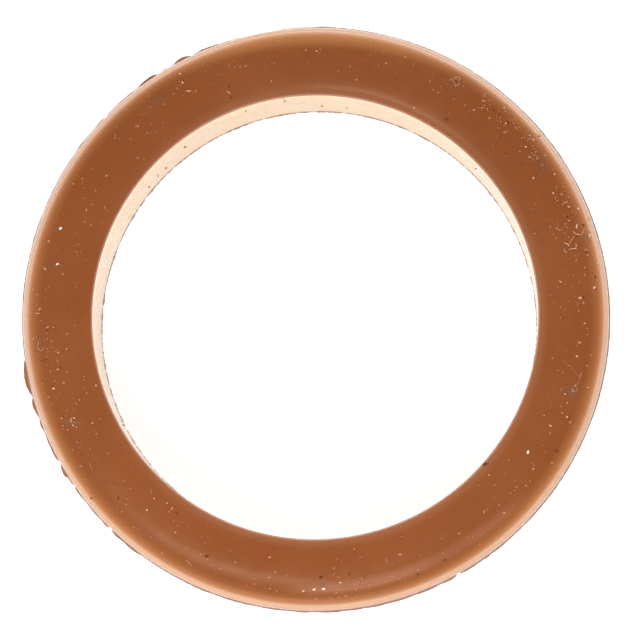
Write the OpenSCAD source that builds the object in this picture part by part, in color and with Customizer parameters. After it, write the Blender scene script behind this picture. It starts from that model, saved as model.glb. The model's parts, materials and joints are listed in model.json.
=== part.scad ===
// Throttle body gasket, a single moulded rubber ring. Z is the ring's axis and the flat
// seat face lies on Z = 0, with the crowned face on top. Angles run anticlockwise from +X,
// as seen from above.

/* [Ring] */
// Bore through the ring, as wide as the throttle that it seals
bore_d = 46; // [30:0.5:80]
// Width of the ring's section, from the bore to the parting line
section_w = 7.3; // [4:0.1:16]
// Height from the seat face to the crest of the crowned face
height = 11.2; // [6:0.2:20]

/* [Section] */
// Height of the crowned face's crest above the two edges of that face
crown_rise = 0.22; // [0.05:0.01:0.6]
// Rounding of the shoulder, from the crowned face down to the upright land
shoulder_r = 1.4; // [0.6:0.1:3]
// Height of the upright land between the shoulder and the parting line
land_h = 0.3; // [0:0.05:1]
// Rounding of the edge between the crowned face and the bore
bore_edge_r = 0.3; // [0.1:0.05:0.8]
// Slope of the outer wall below the parting line, in degrees from upright
draft = 3.5; // [1:0.5:6]
// Rounding of the foot, where the outer wall meets the seat face
foot_r = 0.5; // [0.2:0.05:1.2]

/* [Mould flash] */
// Thickness of the fin of flash that stands out at the parting line
flash_t = 0.14; // [0.06:0.02:0.3]
// Reach of the fin along the clean parts of the parting line
flash_reach = 0.16; // [0.04:0.01:0.3]
// Depth to which the fin is rooted in the wall
flash_root = 0.6; // [0.3:0.1:1]

/* [Hidden] */
$fn = 96;

bore_r = bore_d / 2;
outer_r = bore_r + section_w;

// The crown is an arc over the whole width of the section
half_w = section_w / 2;
mid_r = bore_r + half_w;
crown_r = (half_w * half_w + crown_rise * crown_rise) / (2 * crown_rise);
crown_c = [mid_r, height - crown_r];

// Centre of a rounding that runs smoothly into the crown from a given place in the section
function under_crown(x, r) =
    [x, crown_c.y + sqrt(pow(crown_r - r, 2) - pow(x - mid_r, 2))];

// Direction, in degrees, in which the crown and such a rounding touch
function touch_angle(c) = atan2(c.y - crown_c.y, c.x - crown_c.x);

shoulder_c = under_crown(outer_r - shoulder_r, shoulder_r);
bore_edge_c = under_crown(bore_r + bore_edge_r, bore_edge_r);

// The outer wall is upright on the land, and below the parting line it leans in
parting_z = shoulder_c.y - land_h;
seat_r = outer_r - parting_z * tan(draft);
foot_c = [seat_r + foot_r * (tan(draft) - 1 / cos(draft)), foot_r];

// Humps where more rubber was squeezed out: middle angle, width in degrees, reach past the fin
FLASH_HUMPS = [
    [88.5, 4.4, 0.08],
    [105.6, 2.0, 0.07],
    [112.2, 4.0, 0.14],
    [117.2, 3.6, 0.27],
    [124.8, 3.8, 0.24],
    [143.0, 2.6, 0.06],
    [192.0, 7.0, 0.42],
    [197.4, 4.0, 0.27],
    [201.2, 2.8, 0.15],
    [206.4, 5.0, 0.15],
    [211.8, 4.0, 0.30],
    [216.4, 3.4, 0.12],
    [221.4, 4.0, 0.10],
    [227.9, 3.0, 0.17],
    [231.4, 4.0, 0.17],
    [246.0, 3.0, 0.04],
    [253.5, 3.4, 0.06],
    [262.0, 3.0, 0.05],
    [270.0, 3.6, 0.07],
    [278.5, 3.0, 0.06],
    [287.0, 3.4, 0.07],
    [294.0, 2.6, 0.05],
    [305.5, 1.6, 0.08],
];

// Gaps where the fin broke away: middle angle and width in degrees
FLASH_GAPS = [
    [209.2, 1.0],
    [225.6, 0.9],
    [299.2, 1.2],
];

// Margin by which a cutting shape runs past what it cuts
margin = 0.5;

// Point at a distance and direction from a centre
function off(c, r, a) = [c.x + r * cos(a), c.y + r * sin(a)];

// What a rounding takes away between two directions: the sharp corner outside its circle
module corner_waste(c, r, from, to) {
    reach = 2 * r;
    difference() {
        polygon([c, off(c, reach, from), off(c, 2 * reach, (from + to) / 2), off(c, reach, to)]);
        translate(c) circle(r = r);
    }
}

// Wall to wall shape of the section, with its crown and with its corners still sharp
module sharp_section() {
    intersection() {
        polygon([
            [bore_r, 0],
            [seat_r, 0],
            [outer_r, parting_z],
            [outer_r, height + margin],
            [bore_r, height + margin],
        ]);
        translate(crown_c) circle(r = crown_r, $fn = 720);
    }
}

// Section of the ring, from the bore on the left to the outer wall on the right
module section() {
    difference() {
        sharp_section();
        corner_waste(shoulder_c, shoulder_r, 0, touch_angle(shoulder_c));
        corner_waste(bore_edge_c, bore_edge_r, touch_angle(bore_edge_c), 180);
        corner_waste(foot_c, foot_r, -90, -draft);
    }
}

// Round hump on the fin's edge, of a given width at its base
module flash_hump(angle, width, reach) {
    half_base = (outer_r + flash_reach) * sin(width / 2);
    r = (half_base * half_base + reach * reach) / (2 * reach);
    rotate(angle) translate([outer_r + flash_reach + reach - r, 0]) circle(r = r);
}

// Wedge from the axis past the longest hump, which clears one gap
module gap_wedge(angle, width) {
    far = 2 * outer_r;
    rotate(angle) polygon([[0, 0], off([0, 0], far, -width / 2), off([0, 0], far, width / 2)]);
}

// Ragged edge of the flash, seen from above
module flash_outline() {
    difference() {
        union() {
            circle(r = outer_r + flash_reach, $fn = 360);
            for (hump = FLASH_HUMPS)
                flash_hump(hump[0], hump[1], hump[2]);
        }
        for (gap = FLASH_GAPS)
            gap_wedge(gap[0], gap[1]);
        circle(r = outer_r - flash_root, $fn = 360);
    }
}

// Fin of flash on the parting line
module flash_fin() {
    translate([0, 0, parting_z - flash_t / 2])
        linear_extrude(height = flash_t)
            flash_outline();
}

// The whole gasket
module gasket_ring() {
    color([0.62, 0.34, 0.19])
    union() {
        rotate_extrude($fn = 360) section();
        flash_fin();
    }
}

gasket_ring();
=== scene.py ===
# %% [markdown]
# A throttle body gasket is one moulded rubber ring. It lies on its flat seat face, with a
# slightly crowned face on top, and it was trimmed badly: a thin fin of flash still stands out
# all round where the two halves of the mould met.
# The solid that comes with the frame has the right sizes. It could simply be painted, but its
# flash is too even. So the ring is swept again here from the same section, with the ragged
# edges, and the dust and lint that lie on it are pieces of their own.

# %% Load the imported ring
import json
import math

import bmesh
import bpy
import numpy as np
from mathutils import Matrix, Vector


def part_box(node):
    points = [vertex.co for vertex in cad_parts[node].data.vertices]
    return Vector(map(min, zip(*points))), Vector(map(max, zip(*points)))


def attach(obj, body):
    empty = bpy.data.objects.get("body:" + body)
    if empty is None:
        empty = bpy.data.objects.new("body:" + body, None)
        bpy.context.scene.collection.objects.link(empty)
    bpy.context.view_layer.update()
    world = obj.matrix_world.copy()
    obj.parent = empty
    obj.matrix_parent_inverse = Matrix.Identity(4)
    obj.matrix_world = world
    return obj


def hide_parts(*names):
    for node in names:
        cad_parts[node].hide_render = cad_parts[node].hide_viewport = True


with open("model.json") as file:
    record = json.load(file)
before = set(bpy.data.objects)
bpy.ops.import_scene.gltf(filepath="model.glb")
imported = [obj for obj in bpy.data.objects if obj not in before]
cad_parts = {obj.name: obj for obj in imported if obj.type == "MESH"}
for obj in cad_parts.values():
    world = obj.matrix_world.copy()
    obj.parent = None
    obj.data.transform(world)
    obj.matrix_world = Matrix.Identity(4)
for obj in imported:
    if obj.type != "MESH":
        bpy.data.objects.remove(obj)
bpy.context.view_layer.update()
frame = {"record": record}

# %% [markdown]
# Everything is placed from a few sizes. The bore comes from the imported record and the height
# from the solid's own box, so the new ring can't drift away from the old one. The crest is
# kept a few hundredths of a millimetre lower, which leaves room for the dust on top. The rest
# are the sizes of the section, in metres: the shoulder ends in a short upright land, the fin
# stands out under it, and the wall below leans in.

# %% Sizes of the section
MM = 0.001
mounts = {mount["name"]: mount for mount in frame["record"]["mounts"]}
BORE_R = mounts["bore"]["dims"]["r_mm"] * MM
SECTION_W = 7.3 * MM
OUTER_R = BORE_R + SECTION_W
DUST_ROOM = 0.04 * MM
CREST_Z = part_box("gasket_ring")[1].z - DUST_ROOM
CROWN_RISE = 0.22 * MM
SHOULDER_R = 1.4 * MM
BORE_EDGE_R = 0.3 * MM
LAND_H = 0.3 * MM
FOOT_R = 0.5 * MM
DRAFT = math.radians(3.5)
FIN_T = 0.14 * MM
FIN_REACH = 0.16 * MM
FIN_LEAST = 0.006 * MM
print(f"bore {BORE_R / MM:.2f} mm, outside {OUTER_R / MM:.2f} mm, crest {CREST_Z / MM:.2f} mm")

# %% [markdown]
# The crowned face is an arc of a large circle. The shoulder and the bore edge are small
# circles that touch it from inside, so their centres lie on one circle around the crown's
# centre. Finding those centres by a formula keeps the surface smooth from bore to shoulder,
# which matters here: a gloss shows every kink.

# %% Circles of the section
HALF_W = SECTION_W / 2
MID_R = BORE_R + HALF_W
CROWN_R = (HALF_W**2 + CROWN_RISE**2) / (2 * CROWN_RISE)
CROWN_Z = CREST_Z - CROWN_R


def under_crown(x, radius):
    """Centre of a circle that touches the crown from inside, at the distance x from the axis."""
    return x, CROWN_Z + math.sqrt((CROWN_R - radius) ** 2 - (x - MID_R) ** 2)


def touch_angle(centre):
    """Direction in which the crown and such a circle touch."""
    return math.atan2(centre[1] - CROWN_Z, centre[0] - MID_R)


def arc(centre, radius, start, stop, count):
    """Points along an arc, both ends included, as rows of distance from the axis and height."""
    turn = np.linspace(start, stop, count)
    return np.stack([centre[0] + radius * np.cos(turn), centre[1] + radius * np.sin(turn)], 1)


SHOULDER_C = under_crown(OUTER_R - SHOULDER_R, SHOULDER_R)
BORE_EDGE_C = under_crown(BORE_R + BORE_EDGE_R, BORE_EDGE_R)
PARTING_Z = SHOULDER_C[1] - LAND_H
SEAT_R = OUTER_R - PARTING_Z * math.tan(DRAFT)
FOOT_C = (SEAT_R + FOOT_R * (math.tan(DRAFT) - 1 / math.cos(DRAFT)), FOOT_R)
print(f"parting line at {PARTING_Z / MM:.2f} mm, shoulder centre {SHOULDER_C[0] / MM:.2f} mm out")

# %% [markdown]
# Flash is never even. Where the mould closed well it is a thin web, and where rubber was
# squeezed out it grew into humps that were torn off roughly. Raggedness can be had from random
# numbers, but those would jump from one angle to the next and leave a seam. A sum of waves
# round the ring with seeded phases is just as ragged, and it closes on itself.

# %% Waves round the ring
ANGLE_COUNT = 1440
turns = np.arange(ANGLE_COUNT) * 2 * math.pi / ANGLE_COUNT
degrees = np.degrees(turns)


def ring_wave(seed, lowest, highest, fall=0.5):
    """A ragged curve between -1 and 1 round the ring, made of that many waves per turn."""
    dice = np.random.default_rng(seed)
    curve = np.zeros(ANGLE_COUNT)
    for waves in range(lowest, highest + 1):
        curve += dice.normal() * waves**-fall * np.cos(waves * turns + dice.uniform(0, 2 * math.pi))
    return curve / np.abs(curve).max()


print(f"{ANGLE_COUNT} angles, one every {360 / ANGLE_COUNT:.2f} degrees")

# %% [markdown]
# The humps are placed one by one, each by its start, its highest point and its end, because torn
# flash rises steeply on one side and runs out slowly on the other. In some places the fin
# broke away altogether, and there the reach is taken back to nearly nothing. Along two
# stretches the mould closed better, so the web between the humps is thinner.

# %% Reach of the fin of flash
# start, highest point and end in degrees, then the reach past the thin web in mm
FIN_HUMPS = [
    (86.5, 88.5, 90.5, 0.05),
    (104.8, 105.6, 106.6, 0.05),
    (109.4, 112.4, 114.3, 0.11),
    (115.8, 117.3, 119.2, 0.25),
    (123.0, 124.9, 127.4, 0.23),
    (128.4, 131.5, 134.4, 0.05),
    (136.6, 137.4, 138.5, 0.03),
    (141.6, 143.0, 144.6, 0.05),
    (188.2, 192.3, 195.4, 0.41),
    (195.9, 197.4, 199.8, 0.27),
    (200.3, 201.6, 202.6, 0.14),
    (203.2, 207.6, 209.6, 0.12),
    (210.2, 212.4, 213.0, 0.27),
    (212.6, 213.8, 214.8, 0.06),
    (215.2, 217.0, 218.8, 0.09),
    (219.6, 221.6, 223.6, 0.07),
    (223.6, 224.9, 225.8, 0.10),
    (226.5, 228.0, 230.0, 0.15),
    (229.4, 231.4, 234.0, 0.15),
    (243.0, 246.0, 247.5, 0.04),
    (247.0, 248.2, 249.4, 0.06),
    (250.0, 253.5, 256.0, 0.04),
    (255.5, 256.6, 257.8, 0.06),
    (259.5, 262.0, 264.0, 0.03),
    (266.0, 268.0, 269.6, 0.05),
    (271.0, 273.6, 275.6, 0.09),
    (275.5, 278.5, 280.0, 0.06),
    (279.4, 282.2, 285.0, 0.10),
    (283.6, 287.0, 290.0, 0.08),
    (289.6, 292.2, 295.0, 0.09),
    (295.4, 297.2, 298.4, 0.10),
    (300.0, 301.8, 304.6, 0.07),
    (304.6, 305.5, 306.4, 0.08),
    (306.8, 308.8, 311.0, 0.05),
]
# middle angle and width in degrees
FIN_GAPS = [
    (115.1, 0.8), (120.2, 0.9), (122.6, 0.8), (136.1, 1.0),
    (209.6, 1.0), (215.1, 0.7), (226.0, 0.9), (299.1, 1.1),
]
# start, thinnest point and end in degrees, then the share of the thin web that is missing
THIN_WEBS = [(96.0, 102.0, 107.6, 0.6), (176.0, 206.0, 244.0, 0.25)]
# share of the fin's reach: the mean of the thin web, and how far slow and fine waves sway it
WEB_MEAN = 0.90
WEB_SLOW = 0.10
WEB_FINE = 0.15
# share of a hump's size: its mean, and how far the tearing sways it
TORN_MEAN = 0.9
TORN_SWAY = 0.1


def hump(start, top, stop):
    """A rounded hump between 0 and 1 round the ring, which may lean to one side."""
    side = np.where(degrees < top, (top - degrees) / (top - start), (degrees - top) / (stop - top))
    return np.clip(1 - side**2, 0, 1) ** 0.8


def fin_reach():
    """How far the fin stands out past the shoulder at every angle, in metres."""
    slow, fine = ring_wave(11, 9, 60), ring_wave(12, 60, 260, 0.2)
    web = FIN_REACH * (WEB_MEAN + WEB_SLOW * slow + WEB_FINE * fine)
    web = np.minimum(web, FIN_REACH)
    for start, middle, stop, share in THIN_WEBS:
        web = web * (1 - share * hump(start, middle, stop))
    torn = TORN_MEAN + TORN_SWAY * ring_wave(13, 90, 340, 0.1)
    reach = web
    for start, top, stop, size in FIN_HUMPS:
        reach = np.maximum(reach, web + size * MM * torn * hump(start, top, stop))
    for middle, width in FIN_GAPS:
        reach = reach * (1 - hump(middle - width / 2, middle, middle + width / 2))
    return np.maximum(reach, FIN_LEAST)


fin = fin_reach()
print(f"fin stands out {fin.min() / MM:.3f} to {fin.max() / MM:.3f} mm")

# %% [markdown]
# The bore has its own traces of the mould: a faint witness line where a core sat, and a lip
# of flash round its lower edge that is nowhere wider than a few hairs. From above the lip is
# what draws the thin broken outline between the pale bore wall and the bench.

# %% Reach of the lip under the bore
LIP_T = 0.07 * MM
# reach in mm: its mean, how far slow and fine waves sway it, and the least
LIP_MEAN = 0.050
LIP_SLOW = 0.040
LIP_FINE = 0.045
LIP_LEAST = 0.004
# middle angle and width in degrees, then the reach in mm
LIP_LUMPS = [(149, 2.2, 0.10), (161, 1.6, 0.12), (173, 2.4, 0.12), (68, 1.6, 0.10), (38, 2.6, 0.09)]


def lip_reach():
    """How far the lip stands into the bore at every angle, in metres."""
    reach = LIP_MEAN + LIP_SLOW * ring_wave(21, 20, 90)
    reach = reach + LIP_FINE * ring_wave(22, 90, 330, 0.1)
    for middle, width, size in LIP_LUMPS:
        reach = np.maximum(reach, size * hump(middle - width / 2, middle, middle + width / 2))
    return np.maximum(reach, LIP_LEAST) * MM


lip = lip_reach()
print(f"lip stands in {lip.min() / MM:.3f} to {lip.max() / MM:.3f} mm")

# %% [markdown]
# A spun profile could be made with a Screw modifier, but then every cut through the ring
# would be the same. Instead the points are laid out as a grid, with one row for each point of
# the section and one column for each angle, and single rows are pushed in or out. Joined to
# their neighbours, row by row, they close into one watertight skin. Three short tables hold the
# parts of the section that aren't arcs or straight walls: the lip, the witness line and the fin.

# %% Rows of the section
WITNESS_Z = CREST_Z - 3.4 * MM
WITNESS_H = 0.006 * MM
# share of the lip's reach, and height as a share of its thickness
LIP_SHAPE = [(1, 0), (1, 0.55), (0.3, 1), (0, 1.3)]
# share of the witness line's relief, and height over its middle in mm
WITNESS_SHAPE = [(0, -0.20), (1, -0.06), (1, 0.06), (0, 0.20)]
# share of the fin's reach, depth under its top as a share of its thickness, share of its sag
FIN_SHAPE = [(0, 0, 0), (0.35, 0.06, 0), (0.85, 0.10, 0.5), (1, 0.35, 1), (0.9, 0.85, 0.5)]
FIN_SAG = 0.25


def section_rows():
    """Distance from the axis and height, for every point of the section and every angle."""
    rows = []
    level = np.zeros(ANGLE_COUNT)

    def put(distance, height):
        rows.append((level + distance, level + height))

    for share, up in LIP_SHAPE:
        put(BORE_R - share * lip, up * LIP_T)
    for height in np.linspace(0.8 * MM, WITNESS_Z - 0.6 * MM, 5):
        put(BORE_R, height)
    for share, up in WITNESS_SHAPE:
        put(BORE_R - share * WITNESS_H, WITNESS_Z + up * MM)
    for height in np.linspace(WITNESS_Z + 0.6 * MM, BORE_EDGE_C[1] - 0.3 * MM, 3):
        put(BORE_R, height)
    inner, outer = touch_angle(BORE_EDGE_C), touch_angle(SHOULDER_C)
    for distance, height in arc(BORE_EDGE_C, BORE_EDGE_R, math.pi, inner, 7):
        put(distance, height)
    for distance, height in arc((MID_R, CROWN_Z), CROWN_R, inner, outer, 10)[1:-1]:
        put(distance, height)
    fin_top = PARTING_Z + FIN_T / 2
    sag = FIN_SAG * FIN_T * ring_wave(14, 12, 90)
    for distance, height in arc(SHOULDER_C, SHOULDER_R, outer, 0, 15):
        put(distance, height)
    for share, down, sway in FIN_SHAPE:
        put(OUTER_R + share * fin, fin_top - down * FIN_T + sway * sag)
    wall_top = fin_top - FIN_T
    for height in np.linspace(wall_top, FOOT_C[1] + FOOT_R * math.sin(-DRAFT), 6)[:-1]:
        put(OUTER_R - (PARTING_Z - height) * math.tan(DRAFT), height)
    for distance, height in arc(FOOT_C, FOOT_R, -DRAFT, -math.pi / 2, 6):
        put(distance, height)
    for distance in np.linspace(FOOT_C[0], BORE_R, 4)[1:-1]:
        put(distance, 0)
    return rows


rows = section_rows()
print(f"{len(rows)} points in the section, {len(rows) * ANGLE_COUNT * 2} triangles in the ring")

# %% [markdown]
# Now the rows become a mesh. Row by row and angle by angle, four neighbouring points make one
# face. Counting on from the last row to the first, and from the last angle to the first, is
# what closes the skin without a seam. Every piece is then handed to the frame in the same way,
# riding on the one body that the ring is.

# %% Sweep the ring
def swept_mesh(name, rows):
    """A closed skin through the rows, each joined to the next and the last to the first."""
    count = len(rows)
    distance = np.array([row[0] for row in rows])
    height = np.array([row[1] for row in rows])
    points = np.stack([distance * np.cos(turns), distance * np.sin(turns), height], -1)
    this_row = np.arange(count)[:, None] * ANGLE_COUNT
    next_row = np.roll(this_row, -1, axis=0)
    here = np.arange(ANGLE_COUNT)[None, :]
    beside = np.roll(here, -1, axis=1)
    quads = np.stack([this_row + here, next_row + here, next_row + beside, this_row + beside], -1)
    mesh = bpy.data.meshes.new(name)
    mesh.from_pydata(points.reshape(-1, 3).tolist(), [], quads.reshape(-1, 4).tolist())
    mesh.polygons.foreach_set("use_smooth", [True] * len(mesh.polygons))
    mesh.update()
    return mesh


def add_piece(name, mesh, material):
    """Puts a mesh in the scene as a piece that moves with the ring."""
    mesh.materials.append(material)
    piece = bpy.data.objects.new(name, mesh)
    bpy.context.scene.collection.objects.link(piece)
    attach(piece, "root")
    return piece


ring_mesh = swept_mesh("ring_skin", rows)
print(f"ring skin has {len(ring_mesh.polygons)} faces")

# %% [markdown]
# Shader nodes are easier to read as sums. This small class wraps a socket, so that an
# expression such as 1 - mask adds its Math node by itself.

# %% Sums on sockets
class Wire:
    """A value on its way through the shader nodes."""

    def __init__(self, shader, socket):
        self.shader = shader
        self.socket = socket

    def beside(self, name):
        """Another output of the same node."""
        return Wire(self.shader, self.socket.node.outputs[name])

    def __add__(self, other):
        return self.shader.math("ADD", self, other)

    def __radd__(self, other):
        return self.shader.math("ADD", other, self)

    def __sub__(self, other):
        return self.shader.math("SUBTRACT", self, other)

    def __rsub__(self, other):
        return self.shader.math("SUBTRACT", other, self)

    def __mul__(self, other):
        return self.shader.math("MULTIPLY", self, other)

    def __rmul__(self, other):
        return self.shader.math("MULTIPLY", other, self)


print("a wire can be added, taken away and multiplied, from either side")

# %% [markdown]
# The nodes themselves come from one method, which sets a node's own settings first and then
# fills or links its sockets. The few kinds of node that are used again and again get a name
# of their own: a mix of colours, a smooth rise, and a noise whose grain is given in metres.

# %% Nodes of a shader
class Shader:
    """The nodes of one material or world."""

    def __init__(self, tree):
        self.tree = tree
        self.tree.nodes.clear()

    def node(self, kind, settings, sockets, out=0):
        """Adds a node, sets its own settings, then fills or links its sockets."""
        made = self.tree.nodes.new(kind)
        for name, value in settings.items():
            setattr(made, name, value)
        for name, value in sockets.items():
            if isinstance(value, Wire):
                self.tree.links.new(value.socket, made.inputs[name])
            else:
                made.inputs[name].default_value = value
        return Wire(self, made.outputs[out])

    def math(self, operation, first, second):
        """One Math node on two numbers."""
        return self.node("ShaderNodeMath", {"operation": operation}, {0: first, 1: second})

    def blend(self, share, first, second):
        """A mix of two colours."""
        sockets = {"Factor": share, 6: first, 7: second}
        return self.node("ShaderNodeMix", {"data_type": "RGBA"}, sockets, 2)

    def rise(self, value, start, stop):
        """A smooth rise from 0 to 1 between two values."""
        sockets = {"Value": value, "From Min": start, "From Max": stop}
        return self.node("ShaderNodeMapRange", {"interpolation_type": "SMOOTHSTEP"}, sockets)

    def noise(self, place, grain, detail=2.0):
        """Noise whose lumps are about one grain wide, in metres."""
        sockets = {"Vector": place, "Scale": 1 / grain, "Detail": detail}
        return self.node("ShaderNodeTexNoise", {}, sockets)

    def close(self, surface, kind="ShaderNodeOutputMaterial"):
        """Sends the finished surface to the output."""
        made = self.tree.nodes.new(kind)
        self.tree.links.new(surface.socket, made.inputs["Surface"])


def new_material(name):
    """An empty material and the shader that fills it."""
    material = bpy.data.materials.new(name)
    material.use_nodes = True
    return material, Shader(material.node_tree)


print("a shader has its own names for a mix, a rise and a noise")

# %% [markdown]
# The rubber is an orange-brown elastomer. Rubber is never quite one colour, so two noises, one
# as coarse as a centimetre and one of a millimetre or two, drift between three browns that lie
# close together. The other tints belong to places. The rim carries a painted highlight, warm and
# pale, with a tan line at its outer edge, for the bright tent that the shoulder mirrors, and the
# face next to the bore carries a painted highlight too. The fin is greyer, because it is thin
# enough to scatter light, and so is the lip under the bore. In the painted sheen of the bore
# wall a slightly deeper band runs round its middle.

# %% Colours of the rubber
RUBBER_BROWN = (0.290, 0.082, 0.021, 1)
RUBBER_LIGHT = (0.315, 0.093, 0.027, 1)
RUBBER_DEEP = (0.265, 0.072, 0.016, 1)
FIN_GREY = (0.380, 0.215, 0.150, 1)
# tan line at the outer edge of the painted rim highlight
RIM_HIGHLIGHT_TAN_EDGE = (0.420, 0.175, 0.075, 1)
FIN_BROWN = (0.400, 0.160, 0.075, 1)
LIP_TAN = (0.380, 0.240, 0.160, 1)
# warm painted highlight on the rim, where the shoulder mirrors the bright tent
RIM_HIGHLIGHT_WARM = (0.54, 0.215, 0.073, 1)
# painted highlight on the face next to the bore
BORE_EDGE_HIGHLIGHT = (0.60, 0.30, 0.17, 1)
WALL_SHEEN = (0.85, 0.47, 0.04, 1)
WALL_BAND = (0.66, 0.30, 0.01, 1)
# pale painted highlight along the outer edge of the shoulder
RIM_HIGHLIGHT_PALE = (0.58, 0.37, 0.20, 1)
# pale smear, which also paints a highlight of the crown
SMEAR_AND_HIGHLIGHT_PALE = (0.58, 0.27, 0.17, 1)
print("brown of the rubber", RUBBER_BROWN[:3])

# %% [markdown]
# Each of these places can be told by its distance from the axis, which is the length of the
# position once its height is set to nothing. A smooth rise between two distances makes a mask
# with a soft edge. The height tells the fin from the wall below it, and the band from the rest
# of the bore wall. The painted rim highlight is a little wider on the far side than on the near
# one, and it ends at the fin, because the wall below is plain brown rubber. The painted
# highlight next to the bore fades out towards the left.

# %% Places on the rubber
# width of the painted rim highlight, how much wider on the far side and narrower on the near side
RIM_W = 2.1 * MM
RIM_MORE_FAR = 0.9 * MM
RIM_LESS_NEAR = 0.2 * MM
# shares of the painted highlights on the rim and next to the bore
RIM_HIGHLIGHT_PALE_SHARE = 0.5
BORE_EDGE_HIGHLIGHT_SHARE = 0.22
WALL_BAND_SHARE = 0.4


def rubber_places(shader, place):
    """Masks from 0 to 1 for the places that have a tint, and the distance from the axis."""
    level = shader.node(
        "ShaderNodeVectorMath", {"operation": "MULTIPLY"}, {0: place, 1: (1, 1, 0)}
    )
    out = shader.node("ShaderNodeVectorMath", {"operation": "LENGTH"}, {0: level}, "Value")
    y = shader.node("ShaderNodeSeparateXYZ", {}, {0: place}, "Y")
    far_side = shader.rise(y, 0.8 * OUTER_R, OUTER_R)
    near_side = shader.rise(0 - y, 0.7 * OUTER_R, OUTER_R)
    height = y.beside("Z")
    over_fin = shader.rise(height, PARTING_Z - 0.25 * MM, PARTING_Z - 0.08 * MM)
    off_left = shader.rise(y.beside("X"), -0.9 * OUTER_R, -0.2 * OUTER_R)
    upper_wall = 1 - shader.rise(height, WITNESS_Z + 0.2 * MM, WITNESS_Z + 2.2 * MM)
    lower_wall = shader.rise(height, WITNESS_Z - 4.0 * MM, WITNESS_Z - 0.2 * MM)
    # where the painted rim highlight starts, further in on the far side
    rim_place = out + RIM_MORE_FAR * far_side - RIM_LESS_NEAR * near_side
    # band of pale painted highlight at the outer edge of the shoulder
    rim_pale_band = shader.rise(out, OUTER_R - 0.7 * MM, OUTER_R - 0.3 * MM)
    beside_bore = 1 - shader.rise(out, BORE_R, BORE_R + 1.3 * MM)
    return {
        "out": out,
        # painted highlights on the rim, and the tan line at their outer edge
        "rim_warm_highlight": over_fin * shader.rise(rim_place, OUTER_R - RIM_W, OUTER_R),
        "rim_pale_highlight": RIM_HIGHLIGHT_PALE_SHARE * over_fin * rim_pale_band,
        "edge": over_fin * shader.rise(out, OUTER_R - 0.26 * MM, OUTER_R - 0.08 * MM),
        "fin": over_fin * shader.rise(out, OUTER_R - 0.04 * MM, OUTER_R),
        "hump": shader.rise(out, OUTER_R + 0.12 * MM, OUTER_R + 0.22 * MM),
        "lip": 1 - shader.rise(out, BORE_R - 0.02 * MM, BORE_R - 0.006 * MM),
        # painted highlight next to the bore, fading out on the left
        "bore_highlight": BORE_EDGE_HIGHLIGHT_SHARE * off_left * beside_bore,
        "wall_band": WALL_BAND_SHARE * upper_wall * lower_wall,
        "bore_wall": 1 - shader.rise(out, BORE_R, BORE_R + 0.25 * BORE_EDGE_R),
        "off_wall": shader.rise(out, BORE_R + 0.01 * MM, BORE_R + BORE_EDGE_R),
    }


# the warm rim is the painted rim highlight
print(f"the warm rim is {RIM_W / MM:.1f} mm wide")

# %% [markdown]
# A pale streaky band lies along the near side of the face. It is partly a smear and partly a
# painted highlight, the soft patch of gloss that a second lamp overhead would leave on the crown.
# It follows the ring, so its streaks are a noise of one dimension, fed with nothing but the
# distance from the axis.

# %% Smear and painted highlight on the face
SMEAR_R = 28.1 * MM
SMEAR_TURN = math.radians(291)
SMEAR_FROM = 24.5 * MM
SMEAR_TO = 27.0 * MM
STREAK = 0.3 * MM
SMEAR_LEAST = 0.12
SMEAR_STREAKS = 0.30


def smear_and_painted_highlight(shader, place, out, drift):
    """Share of the smear and painted highlight, from 0 to about a half."""
    towards = (math.cos(SMEAR_TURN), math.sin(SMEAR_TURN), 0)
    side = shader.node(
        "ShaderNodeVectorMath", {"operation": "DOT_PRODUCT"}, {0: place, 1: towards}, "Value"
    )
    arc_share = shader.rise(side, SMEAR_FROM, SMEAR_TO)
    inner_edge = shader.rise(out, SMEAR_R - 1.0 * MM, SMEAR_R)
    outer_edge = 1 - shader.rise(out, SMEAR_R + 0.1 * MM, SMEAR_R + 0.8 * MM)
    streaks = shader.node(
        "ShaderNodeTexNoise",
        {"noise_dimensions": "1D"},
        {"W": out, "Scale": 1 / STREAK, "Detail": 2.0},
    )
    strength = SMEAR_LEAST + SMEAR_STREAKS * streaks
    return arc_share * inner_edge * outer_edge * strength * (0.5 + drift)


print(f"the smear lies {SMEAR_R / MM:.1f} mm from the axis")

# %% [markdown]
# Most of the gloss comes from the shader and the lights: seen flat on, the face is brown, and
# where the shoulder turns away, its clear coat mirrors the bright tent over the highlight that
# is painted on the rim. The bore wall is seen almost edge on, and there it looks nearly white.
# Painted white it would be wrong from every other side, so a second, paler rubber is mixed in
# as a painted sheen by Layer Weight, which only tells how far a surface is turned away.

# %% Rubber
DRIFT_GRAIN = 12 * MM
MOTTLE_GRAIN = 1.6 * MM
SKIN_GRAIN = 0.25 * MM
FINE_GRAIN = 0.05 * MM
SKIN_DEPTH = 0.01 * MM
SHEEN_FROM = 0.70
SHEEN_TO = 0.86


def coated_rubber(shader, tone, mottle, coat, **more):
    """Rubber under a clear coat."""
    sockets = {
        "Base Color": tone,
        "Roughness": 0.20 + 0.08 * mottle,
        "IOR": 1.5,
        "Coat Weight": coat,
        "Coat Roughness": 0.12,
        "Coat IOR": 1.4,
    }
    return shader.node("ShaderNodeBsdfPrincipled", {}, {**sockets, **more})


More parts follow.
